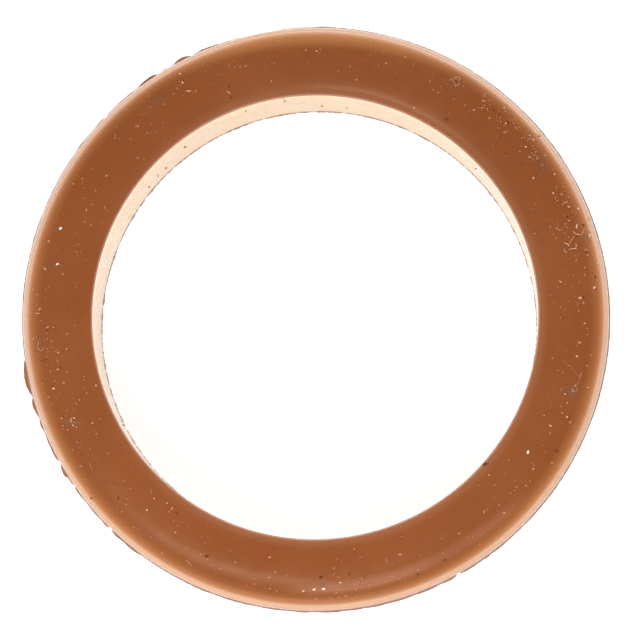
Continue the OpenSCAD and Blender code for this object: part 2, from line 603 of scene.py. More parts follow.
def moulded_rubber():
    """The gasket's own material."""
    material, shader = new_material("moulded_rubber")
    place = shader.node("ShaderNodeTexCoord", {}, {}, "Object")
    drift = shader.rise(shader.noise(place, DRIFT_GRAIN), 0.35, 0.65)
    mottle = shader.rise(shader.noise(place, MOTTLE_GRAIN, 3.0), 0.3, 0.7)
    masks = rubber_places(shader, place)
    tone = shader.blend(drift, RUBBER_BROWN, RUBBER_LIGHT)
    tone = shader.blend(0.35 * mottle, tone, RUBBER_DEEP)
    # painted highlights on the rim and next to the bore, and the tan line at the rim's edge
    tone = shader.blend(masks["rim_warm_highlight"], tone, RIM_HIGHLIGHT_WARM)
    tone = shader.blend(masks["bore_highlight"], tone, BORE_EDGE_HIGHLIGHT)
    tone = shader.blend(masks["rim_pale_highlight"], tone, RIM_HIGHLIGHT_PALE)
    tone = shader.blend(masks["edge"], tone, RIM_HIGHLIGHT_TAN_EDGE)
    tone = shader.blend(masks["fin"], tone, FIN_GREY)
    tone = shader.blend(masks["hump"], tone, FIN_BROWN)
    tone = shader.blend(masks["lip"], tone, LIP_TAN)
    # streaky smear that is partly a painted highlight
    tone = shader.blend(smear_and_painted_highlight(shader, place, masks["out"], drift), tone, SMEAR_AND_HIGHLIGHT_PALE)
    skin = shader.noise(place, SKIN_GRAIN, 4.0) - 0.5
    grain = shader.noise(place, FINE_GRAIN, 2.0) - 0.5
    height = masks["off_wall"] * (0.7 * skin + 0.3 * grain)
    relief = shader.node(
        "ShaderNodeBump", {}, {"Strength": 0.25, "Distance": SKIN_DEPTH, "Height": height}
    )
    surface = coated_rubber(shader, tone, mottle, 1.0, Normal=relief)
    wall_tone = shader.blend(masks["wall_band"], WALL_SHEEN, WALL_BAND)
    wall_tone = shader.blend(masks["lip"], wall_tone, LIP_TAN)
    sheen = coated_rubber(shader, wall_tone, mottle, 0.6)
    turned_away = shader.node("ShaderNodeLayerWeight", {}, {"Blend": 0.5}, "Facing")
    share = masks["bore_wall"] * shader.rise(turned_away, SHEEN_FROM, SHEEN_TO)
    shader.close(shader.node("ShaderNodeMixShader", {}, {0: share, 1: surface, 2: sheen}))
    return material


ring = add_piece("gasket_skin", ring_mesh, moulded_rubber())
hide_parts("gasket_ring")
print("rubber is on", ring.name, "with", len(ring.data.materials[0].node_tree.nodes), "nodes")

# %% [markdown]
# What lies on the ring is loose: pale crumbs of rubber and dust, darker grit, and lint. Dots
# painted on the rubber would stay flat from every side, so each grain is a small lump with
# a bent shape of its own, half sunk in the face. All lumps need to know where the surface is,
# so two helpers give a seat for a grain: a point, and the three directions around it.

# %% Seats on the ring
INNER_TOUCH = BORE_EDGE_C[0] + BORE_EDGE_R * math.cos(touch_angle(BORE_EDGE_C))
OUTER_TOUCH = SHOULDER_C[0] + SHOULDER_R * math.cos(touch_angle(SHOULDER_C))


def round_ring(angle):
    """Directions away from the axis and round the ring, for an angle in degrees."""
    turn = math.radians(angle)
    outwards = np.array([math.cos(turn), math.sin(turn), 0])
    return outwards, np.array([-outwards[1], outwards[0], 0])


def seat_on_face(angle, distance):
    """Point on the top of the ring, with the downhill, sideways and upward directions there."""
    centre, radius = (MID_R, CROWN_Z), CROWN_R
    if distance > OUTER_TOUCH:
        centre, radius = SHOULDER_C, SHOULDER_R
    elif distance < INNER_TOUCH:
        centre, radius = BORE_EDGE_C, BORE_EDGE_R
    sine = (distance - centre[0]) / radius
    cosine = math.sqrt(1 - sine**2)
    outwards, sideways = round_ring(angle)
    upright = np.array([0, 0, 1])
    point = distance * outwards + (centre[1] + radius * cosine) * upright
    return point, cosine * outwards - sine * upright, sideways, sine * outwards + cosine * upright


def seat_on_wall(angle, depth):
    """Point on the bore wall that far under the crest, with the same three directions."""
    outwards, sideways = round_ring(angle)
    point = BORE_R * outwards + np.array([0, 0, CREST_Z - depth])
    return point, np.array([0, 0, -1]), sideways, -outwards


print(f"the crown runs from {INNER_TOUCH / MM:.2f} to {OUTER_TOUCH / MM:.2f} mm from the axis")

# %% [markdown]
# A ball with twenty faces is enough for a grain of a tenth of a millimetre. Its corners are
# pulled in by chance, so its half length is taken a little over a half. It is stretched and
# turned, and its height is kept under the room that was left between the ring and the box of
# the solid.

# %% Bent lumps
LUMP_HALF = 0.68
LUMP_RISE = 0.45
ROOM_SHARE = 0.95


def ball():
    """Corners and faces of a ball with twenty faces and a radius of one."""
    shell = bmesh.new()
    bmesh.ops.create_icosphere(shell, subdivisions=1, radius=1)
    points = np.array([corner.co[:] for corner in shell.verts])
    faces = np.array([[corner.index for corner in face.verts] for face in shell.faces])
    shell.free()
    return points, faces


BALL_POINTS, BALL_FACES = ball()


def room_over(seat):
    """Height that is left over a seat, up to the top of the solid's box."""
    return CREST_Z + DUST_ROOM - seat[0][2]


def bent_lump(dice, seat, angle, length, width, turn):
    """Corners of one grain in metres. Its length and width are in mm and its turn in degrees."""
    point, downhill, sideways, upwards = seat
    height = min(LUMP_RISE * width * MM, ROOM_SHARE * room_over(seat))
    swing = math.radians(turn - angle)
    along = math.cos(swing) * downhill + math.sin(swing) * sideways
    across = math.cos(swing) * sideways - math.sin(swing) * downhill
    bent = BALL_POINTS * dice.uniform(0.7, 1.0, (len(BALL_POINTS), 1))
    sizes = np.array([LUMP_HALF * length * MM, LUMP_HALF * width * MM, height])
    return point + (bent * sizes) @ np.stack([along, across, upwards])


def lump_mesh(name, lumps):
    """One mesh of all the lumps."""
    count = len(BALL_POINTS)
    faces = np.concatenate([BALL_FACES + count * index for index in range(len(lumps))])
    mesh = bpy.data.meshes.new(name)
    mesh.from_pydata(np.concatenate(lumps).tolist(), [], faces.tolist())
    mesh.update()
    return mesh


print(f"a lump has {len(BALL_FACES)} faces")

# %% [markdown]
# The crumbs that stand out are placed one by one, each with its own length, width and turn.
# They are what the eye finds first on a surface as plain as this. Most are tan, some are
# cream and a few nearly white, so there are three lists, each for a colour of its own.

# %% Pale crumbs
# angle in degrees, distance from the axis in mm, length, width and turn
PALE_CRUMBS = [
    (187.6, 25.79, 0.24, 0.18, 40), (191.8, 27.84, 0.34, 0.1, 85), (157.8, 25.03, 0.18, 0.12, 0),
    (164.6, 25.08, 0.18, 0.12, 60), (170.5, 26.39, 0.18, 0.12, 0), (190.0, 26.91, 0.18, 0.12, 30),
    (280.3, 27.44, 0.24, 0.16, 80), (260.9, 28.42, 0.2, 0.14, 0), (262.4, 28.57, 0.18, 0.12, 0),
    (264.0, 26.84, 0.16, 0.12, 0), (264.6, 25.89, 0.16, 0.1, 45), (272.9, 29.02, 0.26, 0.1, 100),
    (274.5, 28.66, 0.18, 0.12, 0), (276.4, 25.52, 0.18, 0.12, 0), (279.7, 24.37, 0.18, 0.12, 0),
    (275.5, 27.07, 0.18, 0.14, 0), (277.3, 27.42, 0.2, 0.12, 80), (284.9, 28.36, 0.22, 0.14, 40),
    (286.8, 28.03, 0.18, 0.12, 0), (281.5, 28.27, 0.18, 0.12, 0), (278.7, 28.49, 0.16, 0.12, 0),
    (353.3, 27.14, 0.2, 0.14, 0), (336.3, 25.73, 0.18, 0.12, 0), (338.3, 27.33, 0.18, 0.14, 0),
    (336.8, 28.97, 0.18, 0.12, 0), (26.0, 28.36, 0.2, 0.14, 0), (13.4, 28.93, 0.2, 0.12, 0),
    (25.8, 25.00, 0.18, 0.12, 0), (20.4, 24.22, 0.18, 0.12, 0), (52.4, 26.94, 0.22, 0.16, 0),
    (34.9, 28.96, 0.2, 0.16, 60), (44.4, 26.31, 0.18, 0.12, 0), (43.7, 25.44, 0.16, 0.1, 0),
    (114.1, 27.93, 0.18, 0.12, 0), (114.2, 26.60, 0.16, 0.1, 0), (126.9, 28.70, 0.18, 0.14, 0),
    (99.2, 26.70, 0.16, 0.12, 0), (85.0, 28.12, 0.18, 0.12, 0), (83.4, 28.72, 0.16, 0.1, 0),
    (107.8, 27.25, 0.18, 0.12, 0), (225.7, 28.26, 0.18, 0.12, 0), (229.7, 28.56, 0.24, 0.18, 0),
    (237.5, 28.99, 0.26, 0.16, 30), (194.8, 24.58, 0.16, 0.14, 0), (195.6, 24.67, 0.18, 0.14, 0),
    (208.6, 25.53, 0.26, 0.1, 20), (212.9, 28.57, 0.3, 0.1, 10), (203.7, 28.28, 0.18, 0.12, 0),
    (13.6, 28.70, 0.28, 0.2, 60), (12.5, 28.78, 0.26, 0.18, 0), (11.9, 27.52, 0.34, 0.14, 60),
    (177.7, 28.79, 0.16, 0.12, 0), (178.7, 28.51, 0.24, 0.12, 80), (179.3, 29.28, 0.2, 0.14, 70),
    (180.6, 29.01, 0.16, 0.14, 0), (182.5, 27.04, 0.24, 0.12, 10), (184.2, 28.79, 0.2, 0.12, 80),
    (184.9, 27.70, 0.18, 0.12, 0), (186.9, 27.20, 0.16, 0.14, 0), (188.7, 27.99, 0.16, 0.12, 45),
    (187.0, 27.77, 0.3, 0.12, 20), (181.0, 28.24, 0.14, 0.12, 0), (193.8, 28.94, 0.16, 0.12, 0),
    (194.1, 27.54, 0.2, 0.14, 0), (197.0, 28.67, 0.16, 0.12, 0), (199.7, 25.71, 0.2, 0.2, 0),
    (204.9, 28.01, 0.18, 0.12, 80), (208.2, 27.67, 0.16, 0.12, 0),
    (208.6, 27.40, 0.18, 0.12, -30), (210.8, 26.85, 0.2, 0.12, 60), (209.1, 28.43, 0.14, 0.12, 0),
    (26.0, 27.61, 0.4, 0.08, 85), (27.4, 28.87, 0.14, 0.12, 0), (26.5, 28.80, 0.14, 0.12, 0),
    (28.0, 28.25, 0.3, 0.08, 80), (21.8, 28.61, 0.14, 0.12, 0), (21.7, 27.73, 0.14, 0.12, 0),
    (20.5, 27.97, 0.36, 0.08, 0), (9.9, 28.24, 0.18, 0.14, 0), (8.9, 28.88, 0.16, 0.14, 0),
    (7.9, 28.96, 0.24, 0.18, 80), (8.8, 27.00, 0.16, 0.14, 0), (8.5, 28.10, 0.18, 0.12, 60),
    (7.0, 25.95, 0.14, 0.12, 0), (4.9, 28.68, 0.14, 0.12, 0), (4.9, 24.32, 0.16, 0.14, 0),
    (2.6, 27.68, 0.2, 0.16, 0), (359.3, 25.33, 0.16, 0.12, 0), (52.7, 28.92, 0.34, 0.22, 20),
    (51.3, 27.64, 0.24, 0.12, 15), (51.2, 27.98, 0.16, 0.12, 0), (50.3, 27.89, 0.16, 0.12, 60),
    (47.2, 29.26, 0.18, 0.14, 0), (47.8, 27.99, 0.16, 0.14, 0), (47.0, 28.12, 0.2, 0.12, 80),
    (46.3, 27.78, 0.16, 0.12, 0), (44.2, 29.02, 0.14, 0.12, 0), (44.1, 28.64, 0.24, 0.14, 70),
    (43.5, 28.91, 0.18, 0.14, 0), (42.7, 28.80, 0.16, 0.12, 0), (44.1, 27.23, 0.2, 0.16, 0),
    (40.1, 29.03, 0.3, 0.18, 10), (40.3, 28.44, 0.16, 0.14, 0), (40.7, 28.17, 0.16, 0.12, 0),
    (39.7, 28.65, 0.16, 0.12, 0), (39.4, 27.63, 0.14, 0.12, 0), (37.3, 28.45, 0.16, 0.12, 0),
    (36.5, 27.57, 0.28, 0.22, 0), (35.3, 28.13, 0.26, 0.12, 60), (36.9, 28.04, 0.2, 0.12, 60),
    (33.5, 28.16, 0.24, 0.12, 75),
]
CREAM_CRUMBS = [
    (195.6, 27.93, 0.3, 0.2, 0), (197.7, 23.64, 0.24, 0.12, 90), (203.1, 26.91, 0.22, 0.16, 20),
    (191.8, 27.06, 0.24, 0.14, 20), (202.1, 28.10, 0.18, 0.12, 0), (267.8, 28.34, 0.24, 0.16, 0),
    (260.4, 27.33, 0.22, 0.16, 0), (351.0, 27.29, 0.26, 0.18, 0), (337.9, 27.95, 0.26, 0.16, 40),
    (334.8, 26.75, 0.38, 0.14, -40), (358.2, 27.75, 0.2, 0.14, 0), (342.4, 26.97, 0.22, 0.16, 0),
    (345.1, 29.04, 0.2, 0.14, 0), (328.0, 28.72, 0.2, 0.12, 0), (313.7, 28.13, 0.2, 0.12, 0),
    (317.4, 24.32, 0.16, 0.12, 0), (32.2, 26.67, 0.3, 0.2, 80), (30.6, 28.73, 0.2, 0.14, 0),
    (51.9, 28.32, 0.2, 0.14, 0), (38.7, 27.93, 0.24, 0.14, 0), (38.9, 28.99, 0.2, 0.14, 0),
    (119.5, 27.98, 0.28, 0.2, -40), (119.1, 28.94, 0.22, 0.16, -30), (119.3, 26.86, 0.3, 0.1, -5),
    (151.2, 28.61, 0.18, 0.12, 0), (138.1, 24.65, 0.18, 0.12, 0), (92.0, 27.72, 0.18, 0.12, 0),
    (70.9, 28.49, 0.16, 0.12, 0), (232.0, 24.52, 0.2, 0.14, 0), (229.4, 26.38, 0.22, 0.15, 50),
    (18.8, 28.51, 0.46, 0.16, 85), (19.5, 29.95, 0.3, 0.24, 90), (16.2, 29.47, 0.4, 0.26, 80),
    (179.4, 28.63, 0.5, 0.1, 0), (182.4, 27.60, 0.3, 0.1, 30), (204.5, 27.30, 0.3, 0.1, -25),
    (205.9, 25.40, 0.22, 0.16, 40), (27.2, 27.64, 0.26, 0.22, 20), (24.3, 28.41, 0.4, 0.12, -5),
    (23.2, 28.49, 0.3, 0.16, -20), (22.1, 29.31, 0.24, 0.2, 0), (10.5, 29.60, 0.2, 0.16, 0),
    (5.6, 28.90, 0.34, 0.26, 60), (3.7, 27.38, 0.4, 0.24, 5), (45.3, 28.08, 0.22, 0.18, 0),
]
WHITE_CRUMBS = [
    (160.9, 27.86, 0.38, 0.26, 30), (168.5, 27.15, 0.34, 0.18, 20), (327.2, 26.05, 0.40, 0.26, 80),
    (270.0, 28.17, 0.36, 0.18, 25), (272.0, 28.13, 0.38, 0.24, 0), (275.6, 27.60, 0.18, 0.14, 0),
]


def crumb_lumps(marks):
    """The placed crumbs of one list."""
    dice = np.random.default_rng(30)
    lumps = []
    for angle, distance, length, width, turn in marks:
        seat = seat_on_face(angle, distance * MM)
        lumps.append(bent_lump(dice, seat, angle, length, width, turn))
    return lumps


print(len(PALE_CRUMBS), "tan crumbs,", len(CREAM_CRUMBS), "cream and", len(WHITE_CRUMBS), "white")

# %% [markdown]
# Fine dust isn't worth placing, so it is thrown by chance, thickly in a few patches where it
# gathered and thinly everywhere else. Most grains are small and a few are larger, which an
# exponential distribution gives without further work.

# %% Thin dust
# angle, distance from the axis, spread and number of grains
DUST_PATCHES = [
    (24, 28.5, 0.45, 12),
    (44, 28.8, 0.7, 14),
    (39, 29.1, 0.6, 12),
    (36, 28.0, 0.5, 10),
    (52, 28.4, 0.5, 8),
    (59, 28.4, 0.6, 14),
    (344, 27.7, 0.35, 12),
    (120, 28.3, 0.8, 14),
    (277, 27.9, 1.3, 14),
    (188, 27.6, 1.3, 12),
    (205, 27.1, 1.0, 8),
    (18, 26.6, 1.2, 18),
    (48, 28.5, 1.2, 22),
]
THIN_DUST = 600
# width of a grain in mm: the least, how much more it has on average, and the most
DUST_LEAST = 0.06
DUST_MORE = 0.05
DUST_MOST = 0.2


def dust_lumps():
    """The patches, and the thin dust over the whole face."""
    dice = np.random.default_rng(31)
    marks = []
    for angle, distance, spread, count in DUST_PATCHES:
        for _ in range(count):
            aside, outwards = dice.normal(0, spread / 1.6, 2)
            marks.append((angle + math.degrees(aside / distance), distance + outwards))
    for _ in range(THIN_DUST):
        outwards = dice.beta(2.2, 1.6) * (OUTER_R - BORE_R - 1.1 * MM) / MM
        marks.append((dice.uniform(0, 360), BORE_R / MM + 0.4 + outwards))
    lumps = []
    for angle, distance in marks:
        width = min(DUST_LEAST + DUST_MORE * dice.exponential(), DUST_MOST)
        length = width * dice.uniform(1, 2)
        distance = min(max(distance, BORE_R / MM + 0.15), OUTER_R / MM - 0.25)
        seat = seat_on_face(angle, distance * MM)
        lumps.append(bent_lump(dice, seat, angle, length, width, dice.uniform(0, 180)))
    return lumps


print(f"{THIN_DUST} grains everywhere and {sum(row[3] for row in DUST_PATCHES)} in patches")

# %% [markdown]
# Smudges are the same dust, much finer: grains thinner than a hair, close enough together to
# turn the brown grey.

# %% Fine smudges
# angle, distance from the axis, half length, half width and turn
SMUDGES = [
    (126, 27.7, 1.2, 0.55, 20),
    (36, 28.0, 0.9, 0.8, 0),
    (33, 28.3, 0.6, 0.9, 0),
    (204, 27.2, 1.0, 0.35, -4),
    (343, 27.5, 0.7, 0.5, -30),
    (186, 28.6, 0.5, 1.0, -10),
    (59, 28.3, 1.1, 0.7, -25),
    (344, 27.8, 0.7, 0.8, 0),
    (16, 29.2, 0.5, 0.7, 0),
    (272, 27.6, 0.5, 0.5, 0),
]
SMUDGE_GRAINS = 260
SMUDGE_GRAIN = 0.03


def smudge_lumps():
    """Fine grains, thrown most thickly in the middle of each smudge."""
    dice = np.random.default_rng(32)
    lumps = []
    for angle, distance, half_length, half_width, turn in SMUDGES:
        outwards, _ = round_ring(angle)
        middle = distance * outwards[:2]
        swing = math.radians(turn)
        for _ in range(SMUDGE_GRAINS):
            along, across = dice.normal(0, 0.5, 2) * (half_length, half_width)
            x = middle[0] + along * math.cos(swing) - across * math.sin(swing)
            y = middle[1] + along * math.sin(swing) + across * math.cos(swing)
            away_mm = min(math.hypot(x, y), OUTER_R / MM - 0.25)
            here = math.degrees(math.atan2(y, x))
            size = SMUDGE_GRAIN * dice.uniform(0.7, 1.3)
            seat = seat_on_face(here, away_mm * MM)
            lumps.append(bent_lump(dice, seat, here, size * 1.3, size, dice.uniform(0, 180)))
    return lumps


print(f"{len(SMUDGES)} smudges of {SMUDGE_GRAINS} grains each")

# %% [markdown]
# Grit is darker and rarer. The grains that show on the face are placed one by one like the
# crumbs, and so are those that stick to the wall of the bore as small dark dots.

# %% Dark grit
# angle in degrees, distance from the axis in mm, length, width and turn
DARK_GRIT = [
    (189.3, 28.23, 0.38, 0.22, 30), (191.4, 26.71, 0.25, 0.20, 0), (195.0, 27.91, 0.25, 0.15, 0),
    (191.6, 26.69, 0.18, 0.15, 0), (209.5, 28.17, 0.22, 0.18, 0), (211.0, 27.89, 0.20, 0.15, 0),
    (219.3, 29.66, 0.25, 0.20, 0), (223.0, 27.56, 0.36, 0.26, 60), (235.3, 24.73, 0.25, 0.18, 0),
    (246.1, 27.07, 0.42, 0.30, 20), (277.8, 26.78, 0.43, 0.12, 85), (271.5, 26.90, 0.33, 0.25, 0),
    (291.8, 28.63, 0.25, 0.18, 0), (298.0, 28.49, 0.25, 0.18, 0), (330.6, 28.53, 0.40, 0.28, 10),
    (318.8, 23.26, 0.50, 0.28, 20), (111.0, 24.33, 0.22, 0.18, 0), (110.4, 25.57, 0.25, 0.15, 80),
    (40.4, 25.91, 0.20, 0.15, 0), (59.1, 28.42, 0.38, 0.25, 0), (56.4, 24.50, 0.38, 0.25, 0),
    (189.5, 28.56, 0.22, 0.15, 0), (148.5, 26.11, 0.20, 0.15, 0), (165.3, 27.04, 0.20, 0.15, 0),
    (183.1, 27.65, 0.3, 0.12, 0), (187.9, 26.15, 0.2, 0.14, 0), (191.6, 27.89, 0.35, 0.08, 85),
    (193.4, 28.86, 0.14, 0.12, 0), (201.9, 27.91, 0.2, 0.14, 0), (208.1, 27.47, 0.2, 0.12, 0),
    (27.1, 27.84, 0.2, 0.18, 0), (21.4, 27.98, 0.2, 0.14, 0), (18.6, 29.22, 0.24, 0.2, 0),
    (13.0, 28.73, 0.22, 0.16, 0), (7.9, 29.11, 0.14, 0.2, 90), (3.8, 27.66, 0.2, 0.22, 0),
    (359.3, 25.54, 0.18, 0.14, 0), (49.0, 28.24, 0.3, 0.12, 0), (45.2, 28.33, 0.26, 0.16, 0),
    (47.5, 28.27, 0.22, 0.12, 0),
]
# angle in degrees, depth under the crest in mm, length and width
WALL_GRIT = [
    (127.0, 5.1, 0.30, 0.22),
    (134.2, 7.5, 0.22, 0.26),
    (137.1, 7.5, 0.16, 0.30),
    (140.8, 7.8, 0.20, 0.26),
    (108.6, 2.9, 0.18, 0.18),
    (98.1, 2.5, 0.18, 0.20),
    (98.4, 1.1, 0.16, 0.16),
    (88.9, 7.2, 0.20, 0.24),
    (82.3, 7.4, 0.18, 0.20),
    (43.7, 4.8, 0.20, 0.22),
    (207.6, 7.8, 0.20, 0.24),
]


def grit_lumps():
    """The placed grit on the face."""
    dice = np.random.default_rng(33)
    lumps = []
    for angle, distance, length, width, turn in DARK_GRIT:
        seat = seat_on_face(angle, min(distance, OUTER_R / MM - 0.4) * MM)
        lumps.append(bent_lump(dice, seat, angle, length, width, turn))
    return lumps


def wall_lumps():
    """The placed grit on the bore wall."""
    dice = np.random.default_rng(34)
    lumps = []
    for angle, depth, length, width in WALL_GRIT:
        seat = seat_on_wall(angle, depth * MM)
        lumps.append(bent_lump(dice, seat, angle, length, width, angle + 90))
    return lumps


print(len(DARK_GRIT), "dark grains on the face and", len(WALL_GRIT), "on the bore wall")

# %% [markdown]
# Beside many a pale crumb sits a brown grain, mostly on the same side. It is painted shadow:
# it stands in for the small shadow that the crumb casts. Those are found from the list of
# crumbs, each a short step away in about the same direction.

# %% Painted shadows beside the crumbs
# how many crumbs get a grain of painted shadow, how far away it lies, and towards which side
SHADOW_GRIT_SHARE = 0.6
SHADOW_GRIT_STEP = 0.15
SHADOW_GRIT_SIDE = -35


def painted_shadow_grains():
    """A brown grain close beside many of the pale crumbs, as a painted shadow of each."""
    dice = np.random.default_rng(35)
    lumps = []
    for angle, distance, length, width, _ in PALE_CRUMBS + CREAM_CRUMBS:
        if dice.random() < SHADOW_GRIT_SHARE:
            swing = math.radians(SHADOW_GRIT_SIDE + dice.uniform(-40, 40) - angle)
            step = SHADOW_GRIT_STEP + 0.3 * width
            beside = angle + math.degrees(step * math.sin(swing) / distance)
            away_mm = min(distance + step * math.cos(swing), OUTER_R / MM - 0.3)
            seat = seat_on_face(beside, away_mm * MM)
            turn = dice.uniform(0, 180)
            lumps.append(bent_lump(dice, seat, beside, 0.8 * width, 0.6 * width, turn))
    return lumps


# the brown grains are painted shadows of the crumbs
print("brown grains lie beside about", f"{SHADOW_GRIT_SHARE:.0%} of the crumbs")

# %% [markdown]
# Lint is a thread, and a thread is a tube along a path. Each path is only a few places on the
# face, and a smooth curve is drawn through them. A curve object could do both, but it would
# cut straight through the crown between its points, while here every point gets a seat.

# %% Paths of the lint
# radius in mm, then places along the fibre: angle in degrees and distance from the axis in mm
FIBRES = [
    (0.019, [(185.0, 28.56), (186.0, 28.71), (186.8, 28.70), (187.2, 28.34), (186.5, 28.06)]),
    (0.017, [(349.5, 25.85), (348.6, 26.75), (347.4, 27.50), (346.1, 28.01), (344.5, 27.75)]),
    (0.017, [(348.1, 28.06), (347.2, 28.00), (346.6, 28.01)]),
    (0.024, [(343.8, 27.41), (343.5, 27.89), (344.4, 27.97), (344.6, 27.52)]),
    (0.042, [(18.1, 27.99), (17.5, 28.11), (17.1, 28.40), (16.9, 28.74), (17.9, 29.19)]),
    (0.036, [(15.7, 27.18), (16.2, 27.48), (16.7, 27.78), (17.1, 27.97)]),
    (0.048, [(16.2, 26.74), (15.8, 27.03), (15.2, 27.16)]),
    (0.034, [(14.5, 26.97), (14.5, 27.39), (14.2, 27.89)]),
    (0.034, [(15.5, 27.89), (14.8, 27.86), (14.5, 27.75)]),
    (0.032, [(15.0, 26.61), (14.3, 26.59), (14.0, 26.87)]),
    (0.034, [(59.7, 28.23), (59.8, 28.63), (59.2, 28.89), (58.6, 28.81), (58.9, 28.42)]),
    (0.034, [(59.2, 28.13), (58.6, 28.01), (58.0, 28.32)]),
    (0.015, [(168.9, 27.37), (168.5, 26.99), (168.7, 26.45)]),
    (0.022, [(213.1, 27.65), (214.0, 27.75), (214.9, 27.85)]),
    (0.018, [(226.8, 24.51), (227.8, 24.81)]),
    (0.019, [(242.5, 28.37), (244.1, 28.64)]),
    (0.015, [(203.4, 27.87), (203.4, 27.32), (204.3, 26.92), (204.4, 26.51)]),
    (0.026, [(120.1, 27.04), (119.3, 26.98), (118.5, 26.65)]),
]


def smooth_path(places, steps=7):
    """A curve through all the places, as smooth at each as its neighbours allow."""
    ends = [2 * places[0] - places[1], *places, 2 * places[-1] - places[-2]]
    curve = []
    for before, start, stop, after in zip(ends, ends[1:], ends[2:], ends[3:]):
        for step in range(steps):
            t = step / steps
            bow = 2 * start + (stop - before) * t
            bow = bow + (2 * before - 5 * start + 4 * stop - after) * t**2
            curve.append((bow + (3 * start - before - 3 * stop + after) * t**3) / 2)
    return np.array([*curve, places[-1]])


print(len(FIBRES), "fibres with", sum(len(fibre) for _, fibre in FIBRES), "places")

# %% [markdown]
# The tube has six sides, which is plenty for a thread of a twentieth of a millimetre. It lies
# on the face by a little more than half its thickness, and it gets thinner towards both ends.

# %% Lint
TUBE_SIDES = 6
LINT_LIFT = 0.6
LINT_TIP = 0.35


def fibre_seats(thick, fibre):
    """Seats along a fibre, and the middle of its tube over each of them."""
    path = smooth_path([np.array(place) for place in fibre])
    seats = [seat_on_face(angle, distance * MM) for angle, distance in path]
    spine = []
    for seat in seats:
        lift = min(LINT_LIFT * thick * MM, ROOM_SHARE * room_over(seat) - thick * MM)
        spine.append(seat[0] + lift * seat[3])
    return seats, np.array(spine)


def fibre_mesh(name):
    """One mesh of all the fibres."""
    points, faces = [], []
    for thick, fibre in FIBRES:
        seats, spine = fibre_seats(thick, fibre)
        ahead = np.gradient(spine, axis=0)
        for index, (seat, middle, forward) in enumerate(zip(seats, spine, ahead)):
            share = index / (len(spine) - 1)
            swell = math.sqrt(max(0, 1 - (2 * share - 1) ** 2))
            radius = thick * MM * (LINT_TIP + (1 - LINT_TIP) * swell)
            side = np.cross(forward, seat[3])
            side = side / np.linalg.norm(side)
            first = len(points)
            for corner in range(TUBE_SIDES):
                turn = 2 * math.pi * corner / TUBE_SIDES
                points.append(middle + radius * (math.cos(turn) * side + math.sin(turn) * seat[3]))
                if index:
                    following = (corner + 1) % TUBE_SIDES
                    before = first - TUBE_SIDES
                    faces.append(
                        (before + corner, before + following, first + following, first + corner)
                    )
        start = len(points) - TUBE_SIDES * len(spine)
        faces.append(tuple(start + corner for corner in reversed(range(TUBE_SIDES))))
        faces.append(tuple(len(points) - TUBE_SIDES + corner for corner in range(TUBE_SIDES)))
    mesh = bpy.data.meshes.new(name)
    mesh.from_pydata([tuple(point) for point in points], [], faces)
    mesh.polygons.foreach_set("use_smooth", [True] * len(mesh.polygons))
    mesh.update()
    return mesh


lint_mesh = fibre_mesh("lint")
print(f"lint has {len(lint_mesh.polygons)} faces")

# %% [markdown]
# One recipe colours all of this dirt. Random Per Island gives every grain its own number, so
# a single mesh still shows grains of many tones between two colours.

# %% Colours of the dirt
DIRT_GRAIN = 0.04 * MM


def loose_dirt(name, first, second, rough):
    """A dry, dull material whose grains differ in tone."""
    material, shader = new_material(name)
    place = shader.node("ShaderNodeTexCoord", {}, {}, "Object")
    own_tone = shader.node("ShaderNodeNewGeometry", {}, {}, "Random Per Island")
    patchy = shader.noise(place, DIRT_GRAIN, 3.0)
    tone = shader.blend(own_tone * own_tone, first, second)
    tone = shader.blend(0.4 * patchy, tone, first)
    relief = shader.node(
        "ShaderNodeBump",
        {},
        {"Strength": 0.4, "Distance": 0.01 * MM, "Height": patchy},
    )
    surface = shader.node(
        "ShaderNodeBsdfPrincipled",
        {},
        {
            "Base Color": tone,
            "Roughness": rough + 0.2 * patchy,
            "IOR": 1.45,
            "Specular IOR Level": 0.15,
            "Normal": relief,
        },
    )
    shader.close(surface)
    return material


print("dirt is dull: no coat, and hardly any gloss")

# %% [markdown]
# Now each kind of dirt gets its two end colours and becomes a piece, and so do the grains of
# painted shadow. Pale crumbs and dust are the same rubber, bleached and dried, so they stay
# warm. Only the smudges lean to grey.

# %% Lay the dirt
CRUMB_TAN = (0.46, 0.18, 0.085, 1)
CRUMB_SAND = (0.70, 0.37, 0.22, 1)
CRUMB_PEACH = (0.66, 0.36, 0.22, 1)
CRUMB_CREAM = (0.90, 0.60, 0.43, 1)
CRUMB_WHITE = (0.98, 0.88, 0.78, 1)
CRUMB_CHALK = (0.90, 0.74, 0.60, 1)
DUST_BROWN = (0.36, 0.13, 0.05, 1)
DUST_TAN = (0.66, 0.32, 0.18, 1)
SMUDGE_GREY = (0.20, 0.12, 0.08, 1)
SMUDGE_PALE = (0.42, 0.29, 0.21, 1)
GRIT_BURNT = (0.130, 0.030, 0.006, 1)
GRIT_RUSTY = (0.220, 0.065, 0.022, 1)
# two tones of the grains of painted shadow beside the crumbs
SHADOW_GRIT_UMBER = (0.150, 0.040, 0.010, 1)
SHADOW_GRIT_BROWN = (0.210, 0.065, 0.024, 1)
LINT_TAN = (0.55, 0.28, 0.16, 1)
LINT_CREAM = (0.88, 0.58, 0.42, 1)

